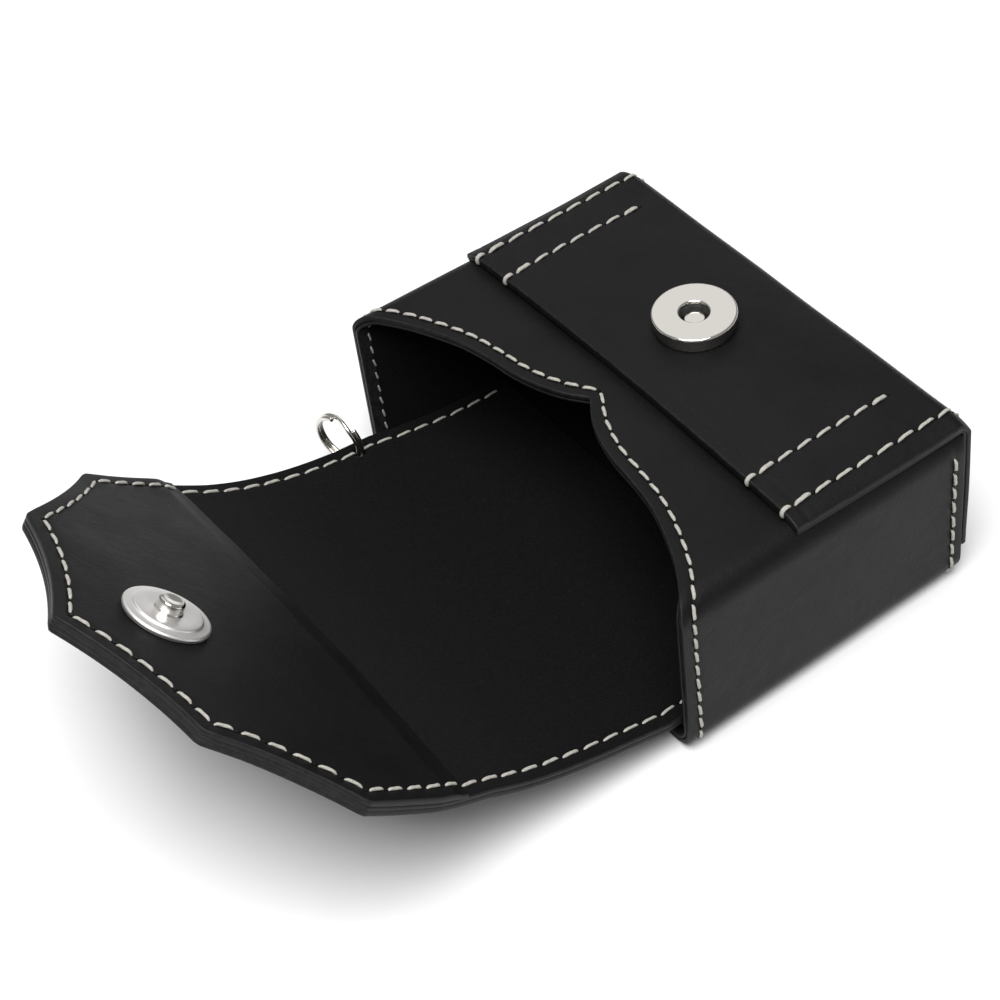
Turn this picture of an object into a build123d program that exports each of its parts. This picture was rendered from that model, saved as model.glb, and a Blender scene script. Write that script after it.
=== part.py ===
"""Leather ever ready case: a hand sewn pouch for a compact camera, lying on its back with the flap open.

+X is the width, +Y runs from the mouth to the bottom end, +Z rises from the back panel to the front.
The geometry is drawn with the mouth in the plane Y = 0 and moved once, on export, so that the origin
is the centre of the back panel's outer face. Millimetres.
"""
import os
from math import cos, pi, radians, sin, sqrt

from build123d import *

# ---------------------------------------------------------------- driving dimensions
BODY_WIDTH = 112.0          # at the bottom end
BODY_LENGTH = 73.0          # mouth to bottom end
BODY_DEPTH = 41.0           # at the bottom end
MOUTH_EXTRA_WIDTH = 2.0     # the pouch opens out a little towards the mouth
MOUTH_EXTRA_DEPTH = 1.1
CORNER_R = 5.3              # long edges, outside
FRONT_CROWN = 1.6           # the front panel is bowed outwards by this much

WRAP_T = 1.3                # outer leather
LINING_T = 0.9              # suede lining
WALL_T = WRAP_T + LINING_T

BOTTOM_INSET = 5.0          # the bottom panel sits this far inside the end of the wrap
BOTTOM_T = 1.4
STRAP_START = 30.0          # snap panel's free edge, measured from the mouth
PANEL_INSET = 1.0           # the snap panel and the flap are this much narrower than the pouch, each side
STRAP_HALF = BODY_WIDTH / 2 - PANEL_INSET
STRAP_BACKING_T = 0.9
STRAP_LEATHER_T = 1.3
STRAP_T = STRAP_BACKING_T + STRAP_LEATHER_T
STRAP_CROWN = 3.0           # the snap lifts the middle of the panel
STRAP_LEVEL_HALF = BODY_WIDTH / 2 - CORNER_R - 0.1   # the bow ends where the long edges begin to round
STRAP_END_Z = 8.0           # the panel's lower leg ends this high on the bottom end
STRAP_GAP = 0.3
STRAP_FOLD_R = 0.8          # inside radius of the fold over the bottom edge

SNAP_Y = 49.65
SNAP_R = 9.0
SOCKET_H = 3.25
SOCKET_HOLE_R = 3.15
PLATE_T = 1.7
PIN_R = 2.65
PIN_H = 2.3
PRONG_OFFSET = 4.6
PRONG_W = 3.0
PRONG_T = 0.5
WASHER_R = 6.6
WASHER_T = 0.5
WASHER_CLEAR = 0.12         # below the curved facing

FLAP_HALF = BODY_WIDTH / 2 - PANEL_INSET
ROOT_CLEAR = 1.3            # between the flap's root and the lining of the side walls
FLAP_ROOT_HALF = BODY_WIDTH / 2 - WALL_T - ROOT_CLEAR
FLAP_LEATHER_T = 1.4
FLAP_LINING_T = 0.9
FLAP_T = FLAP_LEATHER_T + FLAP_LINING_T
FACING_T = 1.3
FLAP_Z_AT_MOUTH = 8.3       # lining side of the flap where it leaves the mouth
ROOT_END = -34.0            # all the flap's places are arc lengths from the mouth, outwards positive
BACK_FOLD = 1.5
FRONT_FOLD = 44.5
FACING_START = 52.4
SHOULDER = 76.3             # the straight sides end here
HORN = 101.6                # outer points of the shaped tip
HORN_HALF = 34.9
TIP = 114.2                 # middle point of the shaped tip
STUD_AT = 89.8
FOLD_GAP = 0.15             # half the open joint at each fold line
FLAP_SLOPES = [             # (arc length, slope in degrees) of the open flap
    (ROOT_END, 0.0), (-22.0, 4.0), (-10.0, 11.0), (0.0, 9.5), (10.0, 10.5), (18.0, 13.5),
    (27.0, 18.5), (35.0, 25.0), (41.0, 30.0), (48.0, 33.0), (55.0, 35.7), (62.0, 37.8),
    (72.0, 39.0), (80.0, 39.2), (90.0, 38.8), (97.0, 36.5), (TIP + 6.0, 34.0),
]

RING_R = 5.9                # middle radius of the split ring
RING_WIRE = 1.15
RING_CLEAR = 0.15
RING_HOLE_R = 2.5
RING_EDGE = 4.6             # the ring's hole, from the flap's side edge
RING_X = RING_EDGE - FLAP_HALF
RING_S = 7.3
RING_LEAN = (-0.825, -0.247, 0.5)   # from the hole towards the ring's centre

# half of the mouth's front edge: (across, back from the mouth)
MOUTH_EDGE = [
    (0.0, 22.0), (4.0, 19.2), (9.0, 16.9), (16.0, 15.0), (24.0, 14.1), (32.0, 12.7),
    (40.0, 9.9), (47.0, 6.5), (52.5, 2.9), (58.5, -1.2),
]
SLICES = [-3.0, 20.0, 48.0, BODY_LENGTH + 2.0]     # stations of the pouch's cross-sections
BACK_SKIM = 0.02            # drawn this much too low, then cut to a true plane


# ---------------------------------------------------------------- the pouch
def mouth_share(y):
    """One at the mouth, zero at the bottom end."""
    return 1.0 - y / BODY_LENGTH


def body_half(y):
    return (BODY_WIDTH + MOUTH_EXTRA_WIDTH * mouth_share(y)) / 2


def body_top(y):
    return BODY_DEPTH + MOUTH_EXTRA_DEPTH * mouth_share(y)


def front_crown(y):
    """Bow of the front panel: full in the middle, less at the mouth, none at the bottom end."""
    return FRONT_CROWN * max(0.0, sin(pi * (y + 25.0) / (BODY_LENGTH + 26.0)))


def section(y, inset):
    """Cross-section of the pouch at one station, moved inwards by inset."""
    half = body_half(y) - inset
    top = body_top(y) - inset
    low = inset - BACK_SKIM
    r = CORNER_R - inset
    k = r * sqrt(0.5)
    flat = half - r
    edges = [
        Spline((-flat, y, top), (0, y, top + front_crown(y)), (flat, y, top),
               tangents=[(1, 0, 0), (1, 0, 0)]),
        ThreePointArc((flat, y, top), (flat + k, y, top - r + k), (half, y, top - r)),
        Line((half, y, top - r), (half, y, low + r)),
        ThreePointArc((half, y, low + r), (flat + k, y, low + r - k), (flat, y, low)),
        Line((flat, y, low), (-flat, y, low)),
        ThreePointArc((-flat, y, low), (-flat - k, y, low + r - k), (-half, y, low + r)),
        Line((-half, y, low + r), (-half, y, top - r)),
        ThreePointArc((-half, y, top - r), (-flat - k, y, top - r + k), (-flat, y, top)),
    ]
    return Wire(edges)


def slab(y_from, y_to):
    """A block, standing on the back panel's outer face, that keeps what lies between two stations."""
    return Pos(0, (y_from + y_to) / 2, 50) * Box(400, y_to - y_from, 100)


def pouch(inset, y_from, y_to):
    """The pouch as a solid block, inset from its outer surface, between two stations."""
    full = Solid.make_loft([section(y, inset) for y in SLICES])
    return full & slab(y_from, y_to)


def mouth_cutter():
    """Everything in front of the shaped front edge, from the top of the side walls upwards."""
    right = Spline(*[(x, y) for x, y in MOUTH_EDGE])
    left = Spline(*[(-x, y) for x, y in MOUTH_EDGE])
    x_end, y_end = MOUTH_EDGE[-1]
    rim = Polyline((-x_end, y_end), (-x_end, -20), (x_end, -20), (x_end, y_end))
    base = make_face(Wire([right, rim.edges()[2], rim.edges()[1], rim.edges()[0], left]).edges())
    low = body_top(0) - CORNER_R
    return Pos(0, 0, low) * extrude(base, 30, dir=(0, 0, 1))


cutter = mouth_cutter()
floor_y = BODY_LENGTH - BOTTOM_INSET - BOTTOM_T
lining_end = floor_y - LINING_T

wrap = pouch(0, 0, BODY_LENGTH) - pouch(WRAP_T, -2, BODY_LENGTH + 1) - cutter
body_lining = pouch(WRAP_T, 0, lining_end) - pouch(WALL_T, -2, lining_end + 1) - cutter
bottom_panel = pouch(WRAP_T, floor_y, BODY_LENGTH)
bottom_panel -= pouch(WRAP_T + BOTTOM_T, floor_y + BOTTOM_T, BODY_LENGTH + 1)
bottom_lining = pouch(WRAP_T, lining_end, floor_y)


# ---------------------------------------------------------------- the snap panel on the front
def strap_lift(x, y):
    """Height of the panel's underside above the front panel's flat level."""
    across = 1.0 - (x / STRAP_LEVEL_HALF) ** 2
    along = 1.0 - ((y - SNAP_Y - 1.0) / 21.5) ** 2 * (0.45 if y < SNAP_Y else 1.0)
    return STRAP_GAP + STRAP_CROWN * across * max(0.0, along)


def strap_section(x, low, high):
    """Side view of one layer of the panel at one place across the width."""
    stations = [STRAP_START, 36.5, 43.0, SNAP_Y, 57.0, 64.0, BODY_LENGTH - 1.6]

    def surface(offset):
        top = [(x, y, body_top(y) + strap_lift(x, y) + offset) for y in stations]
        fold_z = top[-1][2] - STRAP_FOLD_R - offset
        fold_y = BODY_LENGTH + STRAP_GAP - STRAP_FOLD_R
        r = STRAP_FOLD_R + offset
        start = (x, fold_y, fold_z + r)
        middle = (x, fold_y + r * sqrt(0.5), fold_z + r * sqrt(0.5))
        end = (x, fold_y + r, fold_z)
        foot = (x, fold_y + r, STRAP_END_Z)
        return top, start, middle, end, foot

    low_top, low_start, low_middle, low_end, low_foot = surface(low)
    high_top, high_start, high_middle, high_end, high_foot = surface(high)
    return Wire([
        Spline(*low_top),
        Line(low_top[-1], low_start),
        ThreePointArc(low_start, low_middle, low_end),
        Line(low_end, low_foot),
        Line(low_foot, high_foot),
        Line(high_foot, high_end),
        ThreePointArc(high_end, high_middle, high_start),
        Line(high_start, high_top[-1]),
        Spline(*reversed(high_top)),
        Line(high_top[0], low_top[0]),
    ])


def strap_layer(low, high):
    steps = [-3, -2, -1, 0, 1, 2, 3]
    return Solid.make_loft([strap_section(k / 3 * STRAP_HALF, low, high) for k in steps])


strap_backing = strap_layer(0.0, STRAP_BACKING_T)
strap_leather = strap_layer(STRAP_BACKING_T, STRAP_T)


# ---------------------------------------------------------------- the magnetic snap
def disc(plane, radius, low, high):
    """A flat disc on a plane, between two heights above it."""
    return plane * Pos(0, 0, (low + high) / 2) * Cylinder(radius, high - low)


def prongs(plane, low, high):
    """Two flat legs through the leather, folded outwards behind it."""
    legs = []
    for side in (-1, 1):
        leg = Pos(side * PRONG_OFFSET, 0, (low + high) / 2) * Box(PRONG_T, PRONG_W, high - low)
        foot_x = side * (PRONG_OFFSET + PRONG_T / 2 + 0.7)
        foot = Pos(foot_x, 0, low + PRONG_T / 2) * Box(1.4, PRONG_W, PRONG_T)
        legs.append(plane * (leg + foot))
    return legs


def slits(plane, low, high):
    """The two cuts that the prongs pass through."""
    cuts = []
    for side in (-1, 1):
        cuts.append(plane * Pos(side * PRONG_OFFSET, 0, (low + high) / 2)
                    * Box(PRONG_T + 0.1, PRONG_W + 0.1, high - low))
    return cuts


socket_z = body_top(SNAP_Y) + strap_lift(0, SNAP_Y) + STRAP_T
socket_plane = Plane(origin=(0, SNAP_Y, socket_z), z_dir=(0, 0, 1))
BASE_T = 0.6
CAP_T = 0.5
socket_base = disc(socket_plane, SNAP_R - CAP_T - 0.05, 0.0, BASE_T)
socket_post = disc(socket_plane, 2.2, BASE_T, BASE_T + 0.7)
socket_cap = disc(socket_plane, SNAP_R, 0.0, SOCKET_H) - disc(socket_plane, SNAP_R - CAP_T, -1, SOCKET_H - CAP_T)
socket_cap -= disc(socket_plane, SOCKET_HOLE_R, 0, SOCKET_H + 1)
rim_edges = socket_cap.edges().filter_by(GeomType.CIRCLE).group_by(Axis.Z)[-1]
socket_cap = fillet([e for e in rim_edges if e.radius > SNAP_R - 0.01], 0.45)
socket_magnet = disc(socket_plane, SNAP_R - CAP_T - 0.1, BASE_T, SOCKET_H - CAP_T)
socket_magnet -= disc(socket_plane, SOCKET_HOLE_R, 0, SOCKET_H)
washer_low = -STRAP_T - WASHER_T
socket_washer = disc(socket_plane, WASHER_R, washer_low, -STRAP_T + 0.1)
socket_prongs = prongs(socket_plane, washer_low - PRONG_T, 0.0)
for cut in slits(socket_plane, washer_low - 0.2, 0.2):
    strap_backing -= cut
    strap_leather -= cut
    socket_washer -= cut
strap_backing -= disc(socket_plane, WASHER_R, washer_low - 1, -STRAP_T + 0.1)
strap_leather -= disc(socket_plane, SNAP_R, 0.0, 3.0)


# ---------------------------------------------------------------- the flap
def slope_at(s):
    """Slope of the open flap at an arc length, in radians."""
    for (s0, a0), (s1, a1) in zip(FLAP_SLOPES, FLAP_SLOPES[1:]):
        if s <= s1:
            return radians(a0 + (a1 - a0) * (s - s0) / (s1 - s0))
    return radians(FLAP_SLOPES[-1][1])


def flap_point(s, offset=0.0):
    """Place on the flap at an arc length from the mouth, offset upwards from the lining's face."""
    y = 0.0
    z = FLAP_Z_AT_MOUTH
    steps = max(1, int(abs(s) / 0.5))
    step = s / steps
    for i in range(steps):
        a = slope_at((i + 0.5) * step)
        y -= cos(a) * step
        z += sin(a) * step
    a = slope_at(s)
    return (y + sin(a) * offset, z + cos(a) * offset)


def flap_band(s_from, s_to, low, high):
    """One layer of the flap between two arc lengths, full width and square ended."""
    count = max(3, int((s_to - s_from) / 5.0) + 1)
    stations = [s_from + (s_to - s_from) * i / (count - 1) for i in range(count)]
    under = [(0, *flap_point(s, low)) for s in stations]
    over = [(0, *flap_point(s, high)) for s in reversed(stations)]
    wire = Wire([Spline(*under), Line(under[-1], over[0]), Spline(*over), Line(over[-1], under[0])])
    half = FLAP_HALF + 5
    return Pos(-half, 0, 0) * extrude(Face(wire), 2 * half, dir=(1, 0, 0))


def flap_outline():
    """Plan view of the open flap's outer edge, as a tall block."""
    shoulder_y = flap_point(SHOULDER)[0]
    horn_y = flap_point(HORN)[0]
    tip_y = flap_point(TIP)[0]

    def scoop(a, b, depth):
        """A shallow arc between two points of the edge, hollowed towards the flap's middle."""
        middle = ((a[0] + b[0]) / 2, (a[1] + b[1]) / 2)
        length = sqrt((b[0] - a[0]) ** 2 + (b[1] - a[1]) ** 2)
        nx = -(b[1] - a[1]) / length
        ny = (b[0] - a[0]) / length
        side = 1.0 if ny > 0 else -1.0
        return ThreePointArc(a, (middle[0] + nx * depth * side, middle[1] + ny * depth * side), b)

    right = [(FLAP_HALF, shoulder_y), (HORN_HALF, horn_y), (0, tip_y)]
    left = [(-x, y) for x, y in reversed(right)]
    edges = [
        Line((-FLAP_HALF, 40), (FLAP_HALF, 40)),
        Line((FLAP_HALF, 40), right[0]),
        scoop(right[0], right[1], 1.2),
        scoop(right[1], right[2], 1.8),
        scoop(left[0], left[1], 1.8),
        scoop(left[1], left[2], 1.2),
        Line(left[2], (-FLAP_HALF, 40)),
    ]
    return extrude(make_face(edges), 120, dir=(0, 0, 1))


outline = flap_outline()
leather = (-FLAP_T, -FLAP_LINING_T)
lining = (-FLAP_LINING_T, 0.0)
facing = (0.0, FACING_T)
root_room = pouch(WALL_T + 0.05, -3, lining_end)
root = (ROOT_END, BACK_FOLD - FOLD_GAP)
top = (BACK_FOLD + FOLD_GAP, FRONT_FOLD - FOLD_GAP)
front = (FRONT_FOLD + FOLD_GAP, TIP + 3)

flap_root_leather = flap_band(*root, *leather) & root_room
flap_root_lining = flap_band(*root, *lining) & root_room
flap_top_leather = flap_band(*top, *leather) & outline
flap_top_lining = flap_band(*top, *lining) & outline
flap_front_leather = flap_band(*front, *leather) & outline
flap_front_lining = flap_band(*front, *lining) & outline
flap_facing = flap_band(FACING_START, TIP + 3, *facing) & outline

# the snap's other half, on the facing
stud_y, stud_z = flap_point(STUD_AT, FACING_T)
stud_slope = slope_at(STUD_AT)
stud_plane = Plane(origin=(0, stud_y, stud_z), x_dir=(1, 0, 0), z_dir=(0, sin(stud_slope), cos(stud_slope)))
stud_plate = disc(stud_plane, SNAP_R, 0.0, PLATE_T)
stud_plate = fillet(stud_plate.edges().filter_by(GeomType.CIRCLE), 0.3)
stud_pin = disc(stud_plane, PIN_R, PLATE_T, PLATE_T + PIN_H)
stud_pin = fillet(stud_pin.edges().filter_by(GeomType.CIRCLE).sort_by(Axis.Z)[-1:], 0.6)
stud_low = -FACING_T - 0.3
stud_washer = disc(stud_plane, WASHER_R, stud_low, -FACING_T - WASHER_CLEAR)
stud_prongs = prongs(stud_plane, stud_low - PRONG_T, 0.0)
for cut in slits(stud_plane, stud_low - 0.2, 0.2):
    flap_facing -= cut
    stud_washer -= cut
flap_front_lining -= disc(stud_plane, WASHER_R + 0.1, -FACING_T - FLAP_LINING_T - 0.3, -FACING_T + 0.3)
flap_facing -= disc(stud_plane, SNAP_R, 0.0, 2.0)

# the split ring through the flap's edge
ring_y, ring_z = flap_point(RING_S, -FLAP_T / 2)
ring_slope = slope_at(RING_S)
hole_plane = Plane(origin=(RING_X, ring_y, ring_z), x_dir=(1, 0, 0), z_dir=(0, sin(ring_slope), cos(ring_slope)))
ring_hole = disc(hole_plane, RING_HOLE_R, -6, 6)
flap_top_leather -= ring_hole
flap_top_lining -= ring_hole
lean = Vector(*RING_LEAN).normalized()
ring_centre = Vector(RING_X, ring_y, ring_z) + lean * RING_R
ring_axis = lean.cross(Vector(0, 0, 1)).normalized()
turn_gap = RING_WIRE * 0.9
wire_profile = Pos(RING_R, turn_gap / 2) * Circle(RING_WIRE / 2) + Pos(RING_R, -turn_gap / 2) * Circle(RING_WIRE / 2)
ring_plane = Plane(origin=ring_centre, x_dir=lean, z_dir=ring_axis)
split_ring = revolve(Plane.XZ * wire_profile, Axis.Z)
split_ring = ring_plane * split_ring
swing_axis = Axis((RING_X, ring_y, ring_z), (lean.Y, -lean.X, 0))
for swing in (-61, -65, -70):               # the hollow that the ring presses into the lining, flap closed
    worn = ring_plane * Torus(RING_R, RING_WIRE + RING_CLEAR)
    flap_top_lining -= worn.rotate(swing_axis, swing)

# ---------------------------------------------------------------- export
nodes = {
    "outer_wrap": wrap,
    "body_lining": body_lining,
    "bottom_panel": bottom_panel,
    "bottom_lining": bottom_lining,
    "strap_backing": strap_backing,
    "strap_leather": strap_leather,
    "socket_base": socket_base,
    "socket_post": socket_post,
    "socket_cap": socket_cap,
    "socket_magnet": socket_magnet,
    "socket_washer": socket_washer,
    "socket_prong_1": socket_prongs[0],
    "socket_prong_2": socket_prongs[1],
    "flap_root_leather": flap_root_leather,
    "flap_root_lining": flap_root_lining,
    "flap_top_leather": flap_top_leather,
    "flap_top_lining": flap_top_lining,
    "flap_front_leather": flap_front_leather,
    "flap_front_lining": flap_front_lining,
    "flap_facing": flap_facing,
    "stud_plate": stud_plate,
    "stud_pin": stud_pin,
    "stud_washer": stud_washer,
    "stud_prong_1": stud_prongs[0],
    "stud_prong_2": stud_prongs[1],
    "split_ring": split_ring,
}

os.makedirs("parts", exist_ok=True)
for name, shape in nodes.items():
    placed = shape.moved(Location((0, -BODY_LENGTH / 2, 0)))
    export_step(placed, "parts/" + name + ".step")
    box = placed.bounding_box()
    print(name, len(placed.solids()), "solid", round(placed.volume, 1), "mm3",
          [round(v, 1) for v in (*box.min, *box.max)])
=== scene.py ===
"""Looks of the leather ever ready case: every piece is built in millimetres in the case's own drawing frame
(mouth at Y = 0, bottom end at Y = BODY_LENGTH, back panel at Z = 0) and written in metres in the row frame.
"""
import math

import bpy
import numpy as np
from mathutils import Matrix, Vector


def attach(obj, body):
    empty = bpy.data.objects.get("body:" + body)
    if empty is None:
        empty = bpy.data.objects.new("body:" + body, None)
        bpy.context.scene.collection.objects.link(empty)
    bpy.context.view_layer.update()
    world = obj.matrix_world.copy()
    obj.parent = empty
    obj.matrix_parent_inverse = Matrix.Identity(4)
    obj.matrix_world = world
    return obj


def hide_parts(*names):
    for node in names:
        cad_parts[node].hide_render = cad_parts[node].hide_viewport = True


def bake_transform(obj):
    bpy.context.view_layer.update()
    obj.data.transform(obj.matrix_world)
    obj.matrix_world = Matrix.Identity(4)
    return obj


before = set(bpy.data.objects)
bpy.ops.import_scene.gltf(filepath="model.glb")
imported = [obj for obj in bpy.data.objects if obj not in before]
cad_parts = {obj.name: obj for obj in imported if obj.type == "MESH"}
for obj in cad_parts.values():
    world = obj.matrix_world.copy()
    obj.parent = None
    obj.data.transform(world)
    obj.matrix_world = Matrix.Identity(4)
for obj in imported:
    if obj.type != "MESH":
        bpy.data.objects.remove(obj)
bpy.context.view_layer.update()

# ---------------------------------------------------------------- sizes, in millimetres
BODY_WIDTH = 112.0
BODY_LENGTH = 73.0
BODY_DEPTH = 41.0
MOUTH_EXTRA_WIDTH = 2.0
MOUTH_EXTRA_DEPTH = 1.1
CORNER_R = 5.3
FRONT_CROWN = 1.6
WRAP_T = 1.3
LINING_T = 0.9
WALL_T = WRAP_T + LINING_T
BOTTOM_INSET = 5.0
BOTTOM_T = 1.4
LINING_END = BODY_LENGTH - BOTTOM_INSET - BOTTOM_T - LINING_T

STRAP_START = 30.0
STRAP_HALF = 55.0
STRAP_BACKING_T = 0.9
STRAP_T = 2.2
STRAP_CROWN = 3.0
STRAP_LEVEL_HALF = 50.6
STRAP_END_Z = 8.0
STRAP_GAP = 0.3
STRAP_FOLD_R = 0.8

SNAP_Y = 49.65
SNAP_R = 9.0
SOCKET_H = 3.25
SOCKET_HOLE_R = 3.15
PLATE_T = 1.7
PIN_R = 2.65
PIN_H = 2.3

FLAP_HALF = 55.0
FLAP_T = 2.3
FLAP_LINING_T = 0.9
FACING_T = 1.3
FLAP_Z_AT_MOUTH = 8.3
ROOT_END = -34.0
BACK_FOLD = 1.5
FRONT_FOLD = 44.5
FLAP_SPLIT = 22.0           # where the flap's two lengths meet
FACING_START = 52.4
FACING_SKEW = -0.022        # the facing's straight edge isn't quite square to the flap
SHOULDER = 76.3
HORN = 101.6
HORN_HALF = 34.9
TIP = 114.2
STUD_AT = 89.8
FLAP_SLOPES = [
    (ROOT_END, 0.0), (-22.0, 4.0), (-10.0, 11.0), (0.0, 9.5), (10.0, 10.5), (18.0, 13.5),
    (27.0, 18.5), (35.0, 25.0), (41.0, 30.0), (48.0, 33.0), (55.0, 35.7), (62.0, 37.8),
    (72.0, 39.0), (80.0, 39.2), (90.0, 38.8), (97.0, 36.5), (TIP + 6.0, 34.0),
]
# how the soft flap departs from that profile: (arc length, millimetres or share)
FLAP_SIDE_DROP = [(5.0, 0.0), (20.0, 0.1), (30.0, 0.3), (45.0, 0.9), (55.0, 1.6), (70.0, 1.9),
                  (85.0, 1.8), (100.0, 1.2), (TIP, 0.6)]
FLAP_TWIST = [(3.0, 0.0), (12.0, 0.5), (25.0, 0.6), (45.0, 0.5), (60.0, 0.0), (80.0, 0.0), (100.0, -0.3)]
FLAP_WAIST = [(-4.0, 0.030), (2.0, 0.018), (20.0, 0.022), (45.0, 0.022), (54.0, 0.010), (58.0, 0.004)]
FLAP_SWING = [(10.0, 0.0), (50.0, -0.3), (75.0, -0.6), (100.0, -0.9), (TIP, -1.2)]
FLAP_YAW = 0.016
MOUTH_EDGE = [
    (0.0, 22.0), (4.0, 19.2), (9.0, 16.9), (16.0, 15.0), (24.0, 14.1), (32.0, 12.7),
    (40.0, 9.9), (47.0, 6.5), (52.5, 2.9), (58.5, -1.2),
]

RING_R = 5.9
RING_WIRE = 1.15
EYELET_R = 1.55             # the leather closes round the ring inside its punched hole
RING_X = -51.4              # on the flat flap; its waist brings the hole to 50.4 from the middle
RING_S = 7.3
RING_LEAN = (-0.825, -0.247, 0.5)

EDGE_R = 0.38               # rounding of a cut leather edge
ROW_INSET = 2.8             # stitch line to mouth edge
FLAP_ROW_INSET = 3.2        # stitch line to flap edge
THREAD_R = 0.36
MM = 0.001


def place(points):
    """Drawing frame, millimetres, to row frame, metres."""
    p = np.asarray(points, float).reshape(-1, 3).copy()
    p[:, 1] -= BODY_LENGTH / 2
    return p * MM


def smoothstep(t):
    t = np.clip(t, 0.0, 1.0)
    return t * t * (3 - 2 * t)


def hermite(x, xs, ys):
    """Smooth curve through a few points, for values of x in any order."""
    xs, ys = np.asarray(xs, float), np.asarray(ys, float)
    slopes = np.gradient(ys, xs)
    i = np.clip(np.searchsorted(xs, x) - 1, 0, len(xs) - 2)
    w = xs[i + 1] - xs[i]
    t = np.clip((x - xs[i]) / w, 0, 1)
    h00 = 2 * t**3 - 3 * t**2 + 1
    h10 = t**3 - 2 * t**2 + t
    h01 = 1 - h00
    h11 = t**3 - t**2
    return h00 * ys[i] + h10 * w * slopes[i] + h01 * ys[i + 1] + h11 * w * slopes[i + 1]


def ripple(a, b, size, seed):
    """Gentle unevenness of hand worked leather, between about -1 and 1."""
    rng = np.random.default_rng(seed)
    total = np.zeros(np.broadcast(a, b).shape)
    for k in range(5):
        angle, phase = rng.uniform(0, 2 * math.pi, 2)
        f = 2 * math.pi / (size * rng.uniform(0.6, 1.7))
        total = total + np.sin(f * (a * math.cos(angle) + b * math.sin(angle)) + phase)
    return total / 3.2


def join(piece, body, slot, *nodes):
    """Fix a piece to its body, in place of its CAD nodes."""
    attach(piece, body)
    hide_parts(*nodes)


# ---------------------------------------------------------------- materials
def nodes_of(name):
    material = bpy.data.materials.new(name)
    material.use_nodes = True
    tree = material.node_tree
    return material, tree, tree.nodes["Principled BSDF"]


def noise_node(tree, scale, detail, roughness):
    coords = tree.nodes.new("ShaderNodeTexCoord")
    noise = tree.nodes.new("ShaderNodeTexNoise")
    noise.inputs["Scale"].default_value = scale
    noise.inputs["Detail"].default_value = detail
    noise.inputs["Roughness"].default_value = roughness
    tree.links.new(coords.outputs["Object"], noise.inputs["Vector"])
    return noise


def ramp_node(tree, source, stops):
    ramp = tree.nodes.new("ShaderNodeValToRGB")
    while len(ramp.color_ramp.elements) < len(stops):
        ramp.color_ramp.elements.new(0.5)
    for element, (position, colour) in zip(ramp.color_ramp.elements, stops):
        element.position = position
        element.color = (*colour, 1.0)
    tree.links.new(source, ramp.inputs["Fac"])
    return ramp


def range_node(tree, source, low, high):
    mapped = tree.nodes.new("ShaderNodeMapRange")
    mapped.inputs["To Min"].default_value = low
    mapped.inputs["To Max"].default_value = high
    tree.links.new(source, mapped.inputs["Value"])
    return mapped


def bump_chain(tree, shader, layers):
    """Bumps from finest to coarsest: (height socket, strength, distance in metres)."""
    normal = None
    for source, strength, distance in layers:
        bump = tree.nodes.new("ShaderNodeBump")
        bump.inputs["Strength"].default_value = strength
        bump.inputs["Distance"].default_value = distance
        tree.links.new(source, bump.inputs["Height"])
        if normal is not None:
            tree.links.new(normal, bump.inputs["Normal"])
        normal = bump.outputs["Normal"]
    tree.links.new(normal, shader.inputs["Normal"])


def cell_node(tree, scale):
    coords = tree.nodes.new("ShaderNodeTexCoord")
    cells = tree.nodes.new("ShaderNodeTexVoronoi")
    cells.feature = "DISTANCE_TO_EDGE"
    cells.inputs["Scale"].default_value = scale
    tree.links.new(coords.outputs["Object"], cells.inputs["Vector"])
    return cells


def leather_material(name, dark, light, rough_low, rough_high, grain):
    """Smooth dyed calf: fine pebble grain, faint cloudy dye and a soft wax sheen."""
    material, tree, shader = nodes_of(name)
    clouds = noise_node(tree, 55.0, 6.0, 0.6)
    colour = ramp_node(tree, clouds.outputs["Fac"], [(0.3, dark), (0.72, light)])
    tree.links.new(colour.outputs["Color"], shader.inputs["Base Color"])
    polish = noise_node(tree, 160.0, 4.0, 0.65)
    rough = range_node(tree, polish.outputs["Fac"], rough_low, rough_high)
    tree.links.new(rough.outputs["Result"], shader.inputs["Roughness"])
    pebble = cell_node(tree, 1900.0)
    pores = noise_node(tree, 3600.0, 3.0, 0.6)
    wrinkle = noise_node(tree, 420.0, 5.0, 0.7)
    bump_chain(tree, shader, [
        (pebble.outputs["Distance"], 0.6 * grain, 0.00012),
        (pores.outputs["Fac"], 0.7 * grain, 0.00008),
        (wrinkle.outputs["Fac"], 0.5 * grain, 0.00022),
    ])
    shader.inputs["Specular IOR Level"].default_value = 0.17
    return material


def suede_material(name):
    """Short nap: dull, speckled and a little brushed."""
    material, tree, shader = nodes_of(name)
    speckle = noise_node(tree, 2300.0, 4.0, 0.75)
    stops = [
        (0.35, (0.0015, 0.0015, 0.0016)),
        (0.55, (0.0038, 0.0038, 0.0040)),
        (0.8, (0.013, 0.013, 0.0135)),
    ]
    colour = ramp_node(tree, speckle.outputs["Fac"], stops)
    tree.links.new(colour.outputs["Color"], shader.inputs["Base Color"])
    nap = noise_node(tree, 1500.0, 6.0, 0.8)
    brushed = noise_node(tree, 130.0, 3.0, 0.5)
    bump_chain(tree, shader, [
        (nap.outputs["Fac"], 0.9, 0.00022),
        (brushed.outputs["Fac"], 0.25, 0.0003),
    ])
    shader.inputs["Roughness"].default_value = 0.95
    shader.inputs["Specular IOR Level"].default_value = 0.06
    shader.inputs["Sheen Weight"].default_value = 0.02
    shader.inputs["Sheen Roughness"].default_value = 0.6
    return material


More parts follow.
